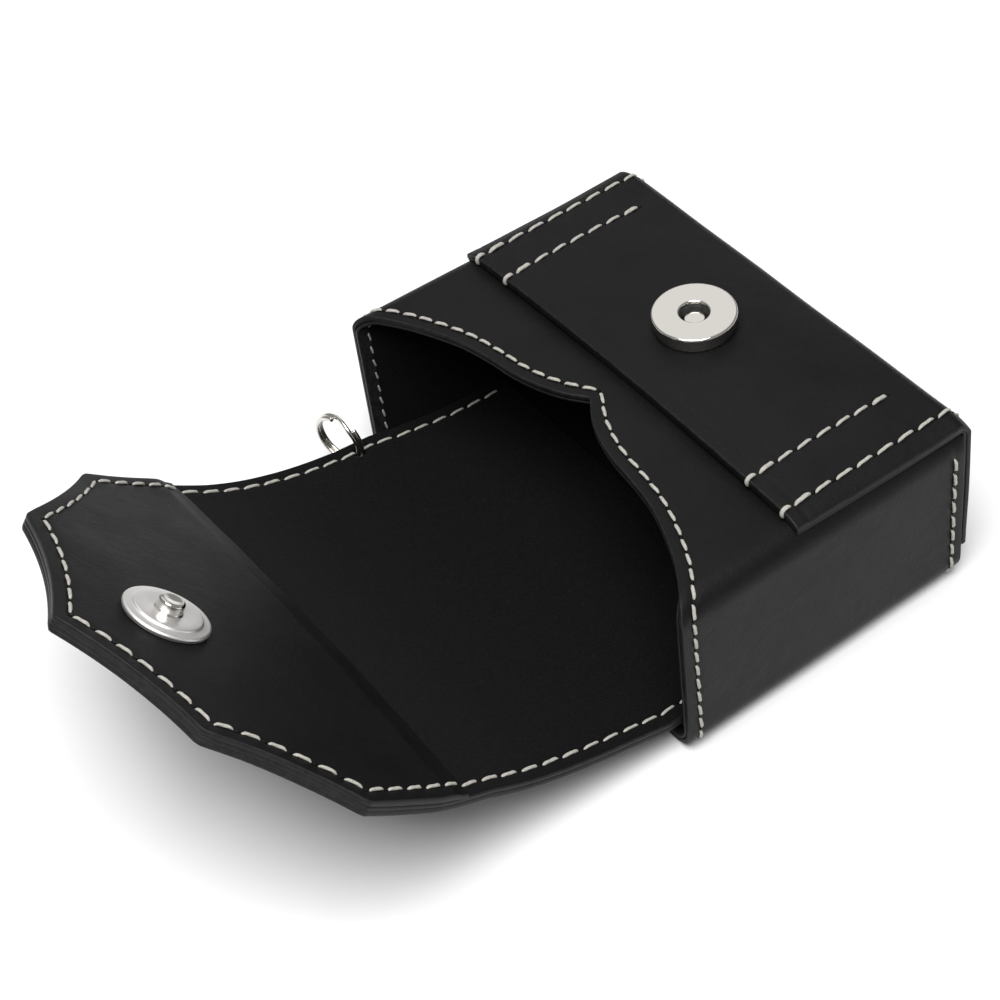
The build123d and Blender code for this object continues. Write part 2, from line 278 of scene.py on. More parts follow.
def edge_material(name, dark, light):
    """Painted or raw cut leather: grey black, slightly streaked."""
    material, tree, shader = nodes_of(name)
    streak = noise_node(tree, 700.0, 4.0, 0.7)
    colour = ramp_node(tree, streak.outputs["Fac"], [(0.3, dark), (0.75, light)])
    tree.links.new(colour.outputs["Color"], shader.inputs["Base Color"])
    rough = range_node(tree, streak.outputs["Fac"], 0.42, 0.62)
    tree.links.new(rough.outputs["Result"], shader.inputs["Roughness"])
    bump_chain(tree, shader, [(streak.outputs["Fac"], 0.5, 0.00015)])
    shader.inputs["Specular IOR Level"].default_value = 0.2
    return material


def thread_material(name):
    """Waxed off-white linen thread."""
    material, tree, shader = nodes_of(name)
    fibre = noise_node(tree, 2600.0, 4.0, 0.7)
    stops = [(0.25, (0.26, 0.245, 0.215)), (0.6, (0.44, 0.425, 0.385)), (0.85, (0.54, 0.525, 0.49))]
    colour = ramp_node(tree, fibre.outputs["Fac"], stops)
    tree.links.new(colour.outputs["Color"], shader.inputs["Base Color"])
    bump_chain(tree, shader, [(fibre.outputs["Fac"], 0.5, 0.0001)])
    shader.inputs["Roughness"].default_value = 0.62
    shader.inputs["Sheen Weight"].default_value = 0.1
    return material


def metal_material(name, dark, light, rough_low, rough_high):
    """Nickel plate with fine polishing marks."""
    material, tree, shader = nodes_of(name)
    marks = noise_node(tree, 5200.0, 3.0, 0.6)
    colour = ramp_node(tree, marks.outputs["Fac"], [(0.3, dark), (0.7, light)])
    tree.links.new(colour.outputs["Color"], shader.inputs["Base Color"])
    rough = range_node(tree, marks.outputs["Fac"], rough_low, rough_high)
    tree.links.new(rough.outputs["Result"], shader.inputs["Roughness"])
    bump_chain(tree, shader, [(marks.outputs["Fac"], 0.05, 0.00001)])
    shader.inputs["Metallic"].default_value = 1.0
    return material


DYE_DARK = (0.0022, 0.0022, 0.0024)
LEATHER = leather_material("leather", DYE_DARK, (0.0052, 0.0051, 0.0054), 0.42, 0.56, 1.0)
FACING = leather_material("facing_leather", DYE_DARK, (0.0050, 0.0049, 0.0052), 0.44, 0.58, 0.8)
SUEDE = suede_material("suede")
EDGE = edge_material("edge_paint", (0.006, 0.0058, 0.0063), (0.019, 0.018, 0.0195))
RAW = edge_material("raw_margin", (0.006, 0.006, 0.0065), (0.028, 0.027, 0.027))
# painted shade: the awl holes are near black lenses that stand in for the shade inside the holes
HOLE_SHADE_PAINT = edge_material("awl_hole_painted_shade", (0.0008, 0.0008, 0.0008), (0.002, 0.002, 0.002))
THREAD = thread_material("thread")
NICKEL = metal_material("nickel", (0.70, 0.675, 0.635), (0.73, 0.705, 0.665), 0.11, 0.15)
PLATE = metal_material("nickel_satin", (0.90, 0.88, 0.86), (0.94, 0.925, 0.91), 0.40, 0.50)
FERRITE = edge_material("ferrite", (0.02, 0.02, 0.02), (0.05, 0.05, 0.05))


# ---------------------------------------------------------------- mesh tools
def make_object(name, points, faces, materials, face_slots=None):
    """A smooth shaded mesh object from drawing frame points."""
    mesh = bpy.data.meshes.new(name)
    mesh.from_pydata([tuple(p) for p in place(points)], [], [tuple(map(int, f)) for f in faces])
    for material in materials:
        mesh.materials.append(material)
    if face_slots is not None:
        mesh.polygons.foreach_set("material_index", np.asarray(face_slots, np.int32))
    mesh.polygons.foreach_set("use_smooth", np.ones(len(mesh.polygons), bool))
    mesh.validate()
    mesh.update()
    obj = bpy.data.objects.new(name, mesh)
    bpy.context.scene.collection.objects.link(obj)
    return obj


def row_stations(length, spacing):
    """Distances along a column: packed at both ends so that cut edges can be rounded."""
    ends = np.array([0.0, 0.05, 0.14, 0.27, 0.42, 0.8, 1.4, 2.0, 2.5, 3.0, 3.5, 4.2, 5.0])
    count = max(2, int(round((np.max(length) - 2 * ends[-1]) / spacing)) - 1)
    inner = np.arange(1, count + 1) / (count + 1)
    length = np.asarray(length, float)[:, None]
    middle = ends[-1] + (length - 2 * ends[-1]) * inner[None, :]
    ones = np.ones_like(length)
    return np.concatenate([ones * ends, middle, length - ends[::-1]], axis=1)


def rounded(distance):
    """How far a cut edge drops below the face at a distance from the cut."""
    t = np.clip(distance / EDGE_R, 0, 1)
    return EDGE_R * (1 - np.sqrt(np.clip(1 - (1 - t) ** 2, 0, 1)))


def shell(name, surface, across, q_grid, edge_distance, high, low, materials, closed=False, relief=None,
          rounding=(1.0, 1.0), margin=0.0):
    """A sheet of leather with two faces and rounded, painted edges.

    surface(a, q, h) gives the drawing frame point at column a, place q and height h.
    q_grid holds q, and edge_distance the distance to the nearest cut edge, for every column and row.
    rounding is the share of the full rounding on the high and low faces.
    A margin along the cut edge of the low face takes the fourth material.
    """
    columns, rows = q_grid.shape
    a = np.repeat(np.asarray(across, float)[:, None], rows, axis=1)
    drop = rounded(edge_distance)
    extra = relief(a, q_grid) if relief else 0.0
    top = surface(a, q_grid, high - drop * rounding[0] + extra)
    bottom = surface(a, q_grid, low + drop * rounding[1] + extra * 0.5)
    points = np.concatenate([top.reshape(-1, 3), bottom.reshape(-1, 3)])
    index = np.arange(columns * rows).reshape(columns, rows)
    under = index + columns * rows
    faces = []
    slots = []
    last = columns if closed else columns - 1
    for i in range(last):
        n = (i + 1) % columns
        edge_row = (edge_distance[i] < EDGE_R * 0.9) & (edge_distance[n] < EDGE_R * 0.9)
        for j in range(rows - 1):
            painted = edge_row[j] and edge_row[j + 1]
            in_margin = edge_distance[i, j] < margin and q_grid[i, j] < q_grid[i].mean()
            faces.append((index[i, j], index[n, j], index[n, j + 1], index[i, j + 1]))
            slots.append(1 if painted else 0)
            faces.append((under[i, j], under[i, j + 1], under[n, j + 1], under[n, j]))
            slots.append(1 if painted else 3 if in_margin else 2)
        faces.append((index[i, 0], under[i, 0], under[n, 0], index[n, 0]))
        faces.append((index[i, -1], index[n, -1], under[n, -1], under[i, -1]))
        slots += [1, 1]
    if not closed:
        for j in range(rows - 1):
            faces.append((index[0, j], index[0, j + 1], under[0, j + 1], under[0, j]))
            faces.append((index[-1, j], under[-1, j], under[-1, j + 1], index[-1, j + 1]))
            slots += [1, 1]
    return make_object(name, points, faces, materials, slots)


def lathe(name, profile, origin, axis, material, segments=96):
    """A turned piece: profile is (radius, height) pairs from the axis, round and back to the axis."""
    z = np.array(axis, float) / np.linalg.norm(axis)
    x = np.cross(z, (0, 0, 1.0)) if abs(z[2]) < 0.9 else np.cross(z, (0, 1.0, 0))
    x /= np.linalg.norm(x)
    y = np.cross(z, x)
    turn = np.linspace(0, 2 * math.pi, segments, endpoint=False)
    ring = np.cos(turn)[:, None] * x + np.sin(turn)[:, None] * y
    points = []
    loops = []
    for radius, height in profile:
        if radius < 1e-6:
            loops.append([len(points)] * segments)
            points.append(np.array(origin) + z * height)
        else:
            loops.append(list(range(len(points), len(points) + segments)))
            points += list(np.array(origin) + ring * radius + z * height)
    faces = []
    for k in range(len(loops) - 1):
        for i in range(segments):
            n = (i + 1) % segments
            face = [loops[k][i], loops[k][n], loops[k + 1][n], loops[k + 1][i]]
            unique = list(dict.fromkeys(face))
            if len(unique) > 2:
                faces.append(unique)
    return make_object(name, np.array(points), faces, [material])


def arc(centre, radius, start, stop, count=6):
    """Points of a rounded corner in a turned profile, angles in degrees."""
    angles = np.radians(np.linspace(start, stop, count))
    return [(centre[0] + radius * math.cos(a), centre[1] + radius * math.sin(a)) for a in angles]


def tube(points, frames, section):
    """Vertices and faces of a capped tube along points.

    section(k) gives the outline at point k, in the two directions of its frame.
    """
    count = len(section(0))
    vertices = []
    for k, (p, (u, v)) in enumerate(zip(points, frames)):
        outline = section(k)
        vertices += [p + u * s[0] + v * s[1] for s in outline]
    faces = []
    for k in range(len(points) - 1):
        for i in range(count):
            n = (i + 1) % count
            faces.append((k * count + i, k * count + n, (k + 1) * count + n, (k + 1) * count + i))
    faces.append(tuple(reversed(range(count))))
    faces.append(tuple(range((len(points) - 1) * count, len(points) * count)))
    return vertices, faces


# ---------------------------------------------------------------- stitches
def resample(path, positions):
    """Points and normals of a path at distances along it."""
    points = np.array([p for p, _ in path])
    normals = np.array([n for _, n in path])
    steps = np.linalg.norm(np.diff(points, axis=0), axis=1)
    length = np.concatenate([[0], np.cumsum(steps)])
    p = np.stack([np.interp(positions, length, points[:, k]) for k in range(3)], axis=1)
    n = np.stack([np.interp(positions, length, normals[:, k]) for k in range(3)], axis=1)
    return p, n / np.linalg.norm(n, axis=1, keepdims=True)


def path_length(path):
    points = np.array([p for p, _ in path])
    return float(np.sum(np.linalg.norm(np.diff(points, axis=0), axis=1)))


def awl_hole_painted_shade(path, at, length, width):
    """A small slot in the leather: a flat closed lens along the stitch line, coloured near black as painted
    shade where a real hole would be dark.
    """
    p, n = resample(path, np.array([at - 0.1, at, at + 0.1]))
    along = (p[2] - p[0]) / np.linalg.norm(p[2] - p[0])
    side = np.cross(n[1], along)
    turn = np.linspace(0, 2 * math.pi, 12, endpoint=False)
    rim = p[1] + np.cos(turn)[:, None] * along * length + np.sin(turn)[:, None] * side * width + n[1] * 0.12
    points = list(rim) + [p[1] + n[1] * 0.19, p[1] - n[1] * 0.15]
    faces = []
    for i in range(12):
        k = (i + 1) % 12
        faces += [(i, k, 12), (k, i, 13)]
    return points, faces


def one_stitch(path, start, stop, radius, slant, rng):
    """A plump three ply stitch that dives into the leather at both ends."""
    count = 13
    t = np.linspace(0, 1, count)
    p, n = resample(path, start + (stop - start) * t)
    along = np.gradient(p, axis=0)
    along /= np.linalg.norm(along, axis=1, keepdims=True)
    side = np.cross(n, along)
    lift = radius * (0.80 - 2.3 * np.abs(2 * t - 1) ** 5) + rng.uniform(-0.03, 0.03)
    p = p + n * lift[:, None] + side * (slant * (2 * t - 1))[:, None]
    along = np.gradient(p, axis=0)
    along /= np.linalg.norm(along, axis=1, keepdims=True)
    side = np.cross(n, along)
    up = np.cross(along, side)
    phase = rng.uniform(0, 2 * math.pi)
    twist = 2 * math.pi * (stop - start) / 2.4
    around = np.linspace(0, 2 * math.pi, 12, endpoint=False)

    def section(k):
        swell = 1.0 - 0.28 * abs(2 * t[k] - 1) ** 6
        lobes = 1 + 0.11 * np.cos(3 * around + twist * t[k] + phase)
        return np.stack([np.cos(around) * radius * swell * lobes,
                         np.sin(around) * radius * 0.86 * swell * lobes], axis=1)

    return tube(p, list(zip(side, up)), section)


def stitches(name, rows, seed, thread_r=THREAD_R):
    """One thread piece from several rows.

    A row is (path, stitch count, share of the pitch that shows, slant, doubled stitches at each end).
    """
    rng = np.random.default_rng(seed)
    points = []
    faces = []
    slots = []

    def add(made, slot):
        made_points, made_faces = made
        faces.extend(tuple(i + len(points) for i in face) for face in made_faces)
        slots.extend([slot] * len(made_faces))
        points.extend(made_points)

    for path, count, share, slant, doubled in rows:
        pitch = path_length(path) / count
        for k in range(count):
            jitter = rng.uniform(-0.03, 0.03) * pitch
            start = (k + 0.5 - share / 2) * pitch + jitter
            stop = (k + 0.5 + share / 2) * pitch + jitter
            thick = 1.3 if k < doubled[0] or k >= count - doubled[1] else 1.0
            add(one_stitch(path, start, stop, thread_r * thick, slant * rng.uniform(0.7, 1.2), rng), 0)
            if share < 0.97:
                # each awl hole is a near black lens on the surface: painted shade, not a cut
                add(awl_hole_painted_shade(path, stop + (1 - share) * pitch / 2, 0.62, thread_r * 0.95), 1)
    return make_object(name, np.array(points), faces, [THREAD, HOLE_SHADE_PAINT], slots)


# ---------------------------------------------------------------- the pouch's surface
def body_half(y):
    return (BODY_WIDTH + MOUTH_EXTRA_WIDTH * (1 - y / BODY_LENGTH)) / 2


def body_top(y):
    return BODY_DEPTH + MOUTH_EXTRA_DEPTH * (1 - y / BODY_LENGTH)


def front_crown(y):
    return FRONT_CROWN * np.clip(np.sin(math.pi * (y + 25.0) / (BODY_LENGTH + 26.0)), 0, None)


def mouth_at(x):
    """Where the front panel's shaped edge lies at a place across the width."""
    xs, ys = zip(*MOUTH_EDGE)
    return np.maximum(hermite(np.abs(x), xs, ys), 0.0)


FRONT, FRONT_RIGHT, RIGHT, BACK_RIGHT, BACK, BACK_LEFT, LEFT, FRONT_LEFT = range(8)


def pouch_surface(a, y, h):
    """The pouch's outer face: a counts round the section, one unit for each flat or corner."""
    a = np.mod(a, 8.0)
    part = np.floor(a).astype(int)
    f = a - part
    half = body_half(y)
    top = body_top(y)
    flat = half - CORNER_R
    low = CORNER_R
    high = top - CORNER_R
    r = CORNER_R + h
    x = np.zeros_like(y, dtype=float)
    z = np.zeros_like(y, dtype=float)

    def put(mask, xs, zs):
        x[mask] = xs[mask]
        z[mask] = zs[mask]

    along = 2 * f - 1
    crown = front_crown(y) * (1 - smoothstep(np.abs(along)))
    quarter = f * math.pi / 2
    put(part == FRONT, along * flat, top + crown + h)
    put(part == FRONT_RIGHT, flat + r * np.sin(quarter), high + r * np.cos(quarter))
    put(part == RIGHT, half + h, high + (low - high) * f)
    put(part == BACK_RIGHT, flat + r * np.cos(quarter), low - r * np.sin(quarter))
    put(part == BACK, -along * flat, -h + 0 * y)
    put(part == BACK_LEFT, -flat - r * np.sin(quarter), low - r * np.cos(quarter))
    put(part == LEFT, -half - h, low + (high - low) * f)
    put(part == FRONT_LEFT, -flat - r * np.cos(quarter), high + r * np.sin(quarter))
    return np.stack([x, y, z], axis=-1)


def pouch_columns(spacing):
    """Column positions round the section, finer in the corners."""
    counts = {FRONT: 2 * int(52 / spacing), BACK: int(70 / spacing), RIGHT: int(32 / spacing),
              LEFT: int(32 / spacing)}
    columns = []
    for part in range(8):
        n = counts.get(part, 12)
        columns += list(part + np.arange(n) / n)
    return np.array(columns)


def pouch_shell(name, high, low, y_end, spacing, materials, relief, rounding, margin=0.0):
    """A tube of leather or lining from the shaped mouth to y_end."""
    a = pouch_columns(spacing)
    x = pouch_surface(a, np.zeros_like(a) + 8.0, np.zeros_like(a))[:, 0]
    on_front = (a >= 7.0) | (a <= 2.0)
    start = np.where(on_front, mouth_at(x), 0.0)
    q = start[:, None] + row_stations(y_end - start, spacing)
    edge = pouch_surface(a, start, np.zeros_like(a))
    ahead = np.roll(edge, -1, axis=0) - edge
    behind = edge - np.roll(edge, 1, axis=0)
    run = np.linalg.norm(ahead[:, [0, 2]], axis=1) + np.linalg.norm(behind[:, [0, 2]], axis=1)
    rise = ahead[:, 1] + behind[:, 1]
    lean = run / np.hypot(run, rise)
    distance = np.minimum((q - start[:, None]) * lean[:, None], y_end - q)
    return shell(name, pouch_surface, a, q, distance, high, low, materials, closed=True,
                 relief=lambda aa, qq: relief(aa, qq, distance), rounding=rounding, margin=margin)


COLUMN_MM = 14.0            # ripples round the pouch: millimetres for one unit of column position
OUTER = (1.0, 0.15)         # a layer's rounding on its high and low faces: full where it shows
INNER = (0.15, 1.0)


def groove(distance, at, depth, width):
    """A soft furrow along a line at a distance from an edge."""
    return -depth * np.exp(-(((distance - at) / width) ** 2))


def wrap_relief(a, q, distance):
    """Thread pulls the leather down along the stitch lines; the panels are a little uneven."""
    return groove(distance, ROW_INSET, 0.16, 0.8) + 0.10 * ripple(a * COLUMN_MM, q, 26.0, 3)


outer_wrap = pouch_shell("outer_wrap_leather", 0.0, -WRAP_T, BODY_LENGTH, 1.0,
                         [LEATHER, EDGE, LEATHER], wrap_relief, OUTER)
join(outer_wrap, "case", "leather", "outer_wrap")


def lining_relief(a, q, distance):
    """Pulled in at the stitches, with a thinner and rougher margin beyond them at the mouth."""
    round_way = a * COLUMN_MM
    margin = smoothstep((ROW_INSET + 0.6 - distance) / 0.8) * smoothstep((LINING_END - 8.0 - q) / 2.0)
    pulled = groove(distance, ROW_INSET, -0.16, 0.6)
    rough = 0.05 * margin * ripple(round_way, q, 3.0, 6)
    return 0.10 * ripple(round_way, q, 18.0, 5) + pulled - 0.12 * margin + rough


body_lining = pouch_shell("body_lining_suede", -WRAP_T - 0.02, -WALL_T, LINING_END, 1.3,
                          [SUEDE, EDGE, SUEDE, RAW], lining_relief, INNER, ROW_INSET + 0.2)
join(body_lining, "case", "suede", "body_lining")


def plug(name, outer_h, profile, materials, slots):
    """A pan or plate that fills the pouch's section.

    profile is (inset, y, share of the way to the middle); slots gives the material of each band.
    """
    a = pouch_columns(2.5)
    points = []
    for inset, y, share in profile:
        ring = pouch_surface(a, np.full_like(a, y), np.full_like(a, -outer_h - inset))
        middle = np.array([0, y, BODY_DEPTH / 2])
        points.append(ring + (middle - ring) * share)
    count = len(a)
    faces = []
    face_slots = []
    for k in range(len(profile) - 1):
        for i in range(count):
            n = (i + 1) % count
            faces.append((k * count + i, (k + 1) * count + i, (k + 1) * count + n, k * count + n))
            face_slots.append(slots(k))
    faces.append(tuple(range(count)))
    faces.append(tuple(reversed(range((len(profile) - 1) * count, len(profile) * count))))
    face_slots += [slots(0), slots(len(profile) - 1)]
    return make_object(name, np.concatenate(points), faces, materials, face_slots)


pan_floor = BODY_LENGTH - BOTTOM_INSET
pan_back = pan_floor - BOTTOM_T
pan_middle = BOTTOM_T + 1.5
pan = [
    (0.0, pan_back, 0.9),
    (0.0, pan_back, 0.02),
    (0.0, pan_back, 0.0),
    (0.0, BODY_LENGTH - 0.35, 0.0),
    (0.1, BODY_LENGTH - 0.1, 0.0),
    (0.35, BODY_LENGTH, 0.0),
    (BOTTOM_T - 0.35, BODY_LENGTH, 0.0),
    (BOTTOM_T - 0.1, BODY_LENGTH - 0.1, 0.0),
    (BOTTOM_T, BODY_LENGTH - 0.35, 0.0),
    (BOTTOM_T, pan_floor + 1.2, 0.0),
    (BOTTOM_T + 0.2, pan_floor + 0.5, 0.0),
    (BOTTOM_T + 0.9, pan_floor + 0.05, 0.0),
    (pan_middle, pan_floor, 0.0),
    (pan_middle, pan_floor, 0.3),
    (pan_middle, pan_floor - 0.2, 0.6),
    (pan_middle, pan_floor - 0.3, 0.9),
]
bottom_panel = plug("bottom_panel_leather", WRAP_T + 0.02, pan, [LEATHER, EDGE],
                    lambda k: 1 if 3 <= k <= 7 else 0)
join(bottom_panel, "case", "leather", "bottom_panel")

floor_pad = [
    (0.0, LINING_END + LINING_T, 0.9),
    (0.0, LINING_END + LINING_T, 0.0),
    (0.05, LINING_END, 0.0),
    (0.05, LINING_END, 0.3),
    (0.05, LINING_END - 0.15, 0.6),
    (0.05, LINING_END - 0.2, 0.9),
]
bottom_lining = plug("bottom_lining_suede", WRAP_T + 0.05, floor_pad, [SUEDE], lambda k: 0)
join(bottom_lining, "case", "suede", "bottom_lining")


# ---------------------------------------------------------------- the snap panel
def strap_lift(x, y):
    across = 1.0 - (x / STRAP_LEVEL_HALF) ** 2
    near = np.where(y < SNAP_Y, 0.45, 1.0)
    along = np.clip(1.0 - ((y - SNAP_Y - 1.0) / 21.5) ** 2 * near, 0, None)
    over_corner = np.clip(np.abs(x) - STRAP_LEVEL_HALF + 0.6, 0, None)
    return STRAP_GAP + STRAP_CROWN * across * along - 0.055 * over_corner**2


FOLD_Y = BODY_LENGTH + STRAP_GAP - STRAP_FOLD_R
STRAP_FLAT = FOLD_Y - STRAP_START
FOLD_THINNING = 0.30        # leather thins where it is folded sharply
STRAP_BEND = math.pi / 2 * (STRAP_FOLD_R + STRAP_T)


def fold_height(x):
    return body_top(FOLD_Y) + strap_lift(x, FOLD_Y) - STRAP_FOLD_R


STRAP_LEG = BODY_DEPTH - STRAP_END_Z - STRAP_FOLD_R
STRAP_LENGTH = STRAP_FLAT + STRAP_BEND + STRAP_LEG


def strap_surface(x, q, h):
    """q runs from the free edge over the front, round the fold and down the bottom end.

    h is the height above the panel's underside.
    """
    y_flat = STRAP_START + np.minimum(q, STRAP_FLAT)
    flat_z = body_top(y_flat) + strap_lift(x, y_flat) + h
    turn = np.clip((q - STRAP_FLAT) / STRAP_BEND, 0, 1) * math.pi / 2
    r = STRAP_FOLD_R + h * (1 - FOLD_THINNING * np.sin(2 * turn))
    top_z = fold_height(x)
    leg = np.clip(q - STRAP_FLAT - STRAP_BEND, 0, None)
    bulge = 0.9 * np.sin(math.pi * np.clip(leg / STRAP_LEG, 0, 1)) * (1 - (x / 62.0) ** 2)
    folded = q > STRAP_FLAT
    y = np.where(folded, FOLD_Y + r * np.sin(turn) - 0.22 * np.sin(turn) + bulge, y_flat)
    z = np.where(folded, top_z + r * np.cos(turn) - leg, flat_z)
    return np.stack([x, y, z], axis=-1)


def span_columns(half, spacing, include=()):
    """Positions across a panel, packed at both sides and passing through given places."""
    ends = np.array([0.0, 0.05, 0.14, 0.27, 0.42, 0.8, 1.4, 2.0, 2.6, 3.2, 3.8, 4.5, 5.3])
    count = int(round((half - ends[-1]) * 2 / spacing))
    middle = np.linspace(-half + ends[-1], half - ends[-1], count)[1:-1]
    columns = np.concatenate([-half + ends, middle, half - ends[::-1]])
    for place_at in include:
        nearest = np.argmin(np.abs(columns - place_at))
        columns[nearest] = place_at
    return columns


def strap_shell(name, high, low, half, rounding, relief=None, start=0.0):
    """One layer of the snap panel, from start behind the free edge to the end of the leg."""
    x = span_columns(half, 1.2)
    q = np.repeat(row_stations(np.array([STRAP_LENGTH - start]), 1.0), len(x), axis=0) + start
    side = (half - np.abs(x))[:, None]
    distance = np.minimum(side, np.minimum(q - start, STRAP_LENGTH - q))
    return shell(name, strap_surface, x, q, distance, high, low, [LEATHER, EDGE, LEATHER], relief=relief,
                 rounding=rounding)


STRAP_ROWS = [-STRAP_LEVEL_HALF, -40.2, 40.2, STRAP_LEVEL_HALF]
INNER_ROW_END = 66.5 - STRAP_START


def strap_relief(x, q):
    """Pulled down along the four stitch lines, a pressed crease along the free edge, faint unevenness."""
    total = 0.07 * ripple(x, q, 22.0, 11) * smoothstep(q / 6.0)
    for row in STRAP_ROWS:
        reach = 1.0 if abs(row) > 45 else smoothstep((INNER_ROW_END + 1.0 - q) / 2.0)
        total = total + groove(x, row, 0.15, 0.8) * reach
    return total + groove(q, 3.2, 0.10, 0.4)


BACKING_INSET = 0.12        # the backing's cut edges lie a little inside the leather's
strap_leather = strap_shell("strap_leather_panel", STRAP_T, STRAP_BACKING_T + 0.02, STRAP_HALF, OUTER,
                            strap_relief)
strap_backing = strap_shell("strap_backing_panel", STRAP_BACKING_T, 0.0, STRAP_HALF - BACKING_INSET,
                            INNER, start=BACKING_INSET)
for piece, node in ((strap_leather, "strap_leather"), (strap_backing, "strap_backing")):
    join(piece, "case", "leather", node)


# ---------------------------------------------------------------- the magnetic snap
def snap_socket():
    """The half on the snap panel: cap, base plate with its post, and the magnet between them."""
    z = float(body_top(SNAP_Y) + strap_lift(np.array(0.0), np.array(SNAP_Y)) + STRAP_T)
    origin = (0, SNAP_Y, z)
    top = SOCKET_H
    wall = 0.5
    cap = ([(SNAP_R - wall, 0.0)] + [(SNAP_R - 0.15, 0.0), (SNAP_R, 0.15)]
           + arc((SNAP_R - 0.5, top - 0.5), 0.5, 0, 90, 8)
           + [(SNAP_R - 1.0, top), (SOCKET_HOLE_R + 0.9, top)]
           + arc((SOCKET_HOLE_R + 0.45, top - 0.45), 0.45, 90, 180, 8)
           + [(SOCKET_HOLE_R, top - wall - 0.25), (SOCKET_HOLE_R + 0.3, top - wall - 0.25),
              (SNAP_R - wall, top - wall), (SNAP_R - wall, 0.0)])
    shown = lathe("socket_cap_shell", cap, origin, (0, 0, 1), NICKEL)
    well = [(0, 0.02), (SNAP_R - 0.6, 0.02), (SNAP_R - 0.6, 0.6), (SOCKET_HOLE_R + 0.2, 0.6), (2.3, 0.6),
            (2.3, 1.0)] + arc((2.0, 1.25), 0.3, 0, 90, 4) + [(1.2, 1.55), (0, 1.45)]
    base = lathe("socket_base_plate", well, origin, (0, 0, 1), NICKEL)
    inner = SOCKET_HOLE_R + 0.06
    outer = SNAP_R - 0.62
    ring = [(inner, 0.62), (outer, 0.62), (outer, top - 0.56), (inner, top - 0.78), (inner, 0.62)]
    magnet = lathe("socket_magnet_ring", ring, origin, (0, 0, 1), FERRITE)
    for piece, nodes, slot in ((shown, ["socket_cap"], "nickel"),
                               (base, ["socket_base", "socket_post"], "nickel"),
                               (magnet, ["socket_magnet"], "magnet")):
        join(piece, "case", slot, *nodes)


snap_socket()


# ---------------------------------------------------------------- the flap's surface
def flap_table():
    """Arc length, Y, Z and slope of the open flap's lining side."""
    s = np.arange(ROOT_END, TIP + 6.0, 0.25)
    angles = np.radians(np.interp(s, *zip(*FLAP_SLOPES)))
    middle = (angles[1:] + angles[:-1]) / 2
    y = np.concatenate([[0], np.cumsum(-np.cos(middle) * 0.25)])
    z = np.concatenate([[0], np.cumsum(np.sin(middle) * 0.25)])
    y -= np.interp(0.0, s, y)
    z += FLAP_Z_AT_MOUTH - np.interp(0.0, s, z)
    return s, y, z, angles


TABLE_S, TABLE_Y, TABLE_Z, TABLE_A = flap_table()


def along_flap(table, s):
    return np.interp(s, *zip(*table))


def flap_surface(x, s, h):
    """Lining side of the open flap raised by h along its normal.

    The leather has a memory: its sides hang lower than its middle, it is a little twisted,
    it is narrower behind the facing, and it lies slightly askew.
    """
    across = x / FLAP_HALF
    h = h - along_flap(FLAP_SIDE_DROP, s) * across**2 + along_flap(FLAP_TWIST, s) * across
    placed = x * (1 - along_flap(FLAP_WAIST, s)) + along_flap(FLAP_SWING, s)
    s = s + FLAP_YAW * x * smoothstep((s - 10.0) / 45.0)
    angle = np.interp(s, TABLE_S, TABLE_A)
    y = np.interp(s, TABLE_S, TABLE_Y) + np.sin(angle) * h
    z = np.interp(s, TABLE_S, TABLE_Z) + np.cos(angle) * h
    return np.stack([placed, y, z], axis=-1)


def shaped_end(inset):
    """Half of the flap's shaped end, moved inwards: runs of (across, along) from the side to the middle."""
    corners = [(FLAP_HALF, SHOULDER - 30.0), (FLAP_HALF, SHOULDER), (HORN_HALF, HORN), (0.0, TIP)]
    runs = []
    for (a, b), depth in zip(zip(corners, corners[1:]), (0.0, 1.2, 1.8)):
        a, b = np.array(a), np.array(b)
        length = np.linalg.norm(b - a)
        inwards = np.array([-(b - a)[1], (b - a)[0]]) / length
        share = np.linspace(-0.1, 1.1, 600)
        bow = 4 * share * (1 - share) * depth + inset
        runs.append(a + (b - a) * share[:, None] + inwards * bow[:, None])
    trimmed = [runs[0]]
    for run in runs[1:]:
        gaps = np.linalg.norm(trimmed[-1][:, None] - run[None], axis=2)
        leave, join = np.unravel_index(np.argmin(gaps), gaps.shape)
        trimmed[-1] = trimmed[-1][:leave + 1]
        trimmed.append(run[join:])
    trimmed[-1] = trimmed[-1][trimmed[-1][:, 0] >= 0]
    return trimmed[1:]


def flap_edge_s(x):
    """Where the flap ends at a place across its width: the shaped tip, with softened points."""
    outline = np.concatenate(shaped_end(0.0))[::-1]
    fine = np.linspace(0, FLAP_HALF, 1101)
    s = np.interp(fine, outline[:, 0], outline[:, 1])
    mirrored = np.concatenate([s[:0:-1], s])
    kernel = np.exp(-0.5 * (np.arange(-36, 37) / 12.0) ** 2)
    padded = np.pad(mirrored, 36, mode="reflect", reflect_type="odd")
    soft = np.convolve(padded, kernel / kernel.sum(), "valid")
    shoulder = 1.3 * (1 - np.sqrt(1 - np.clip((fine - FLAP_HALF + 1.3) / 1.3, 0, 1) ** 2)) * 0.6
    return np.interp(np.abs(x), fine, soft[len(s) - 1:] - shoulder)


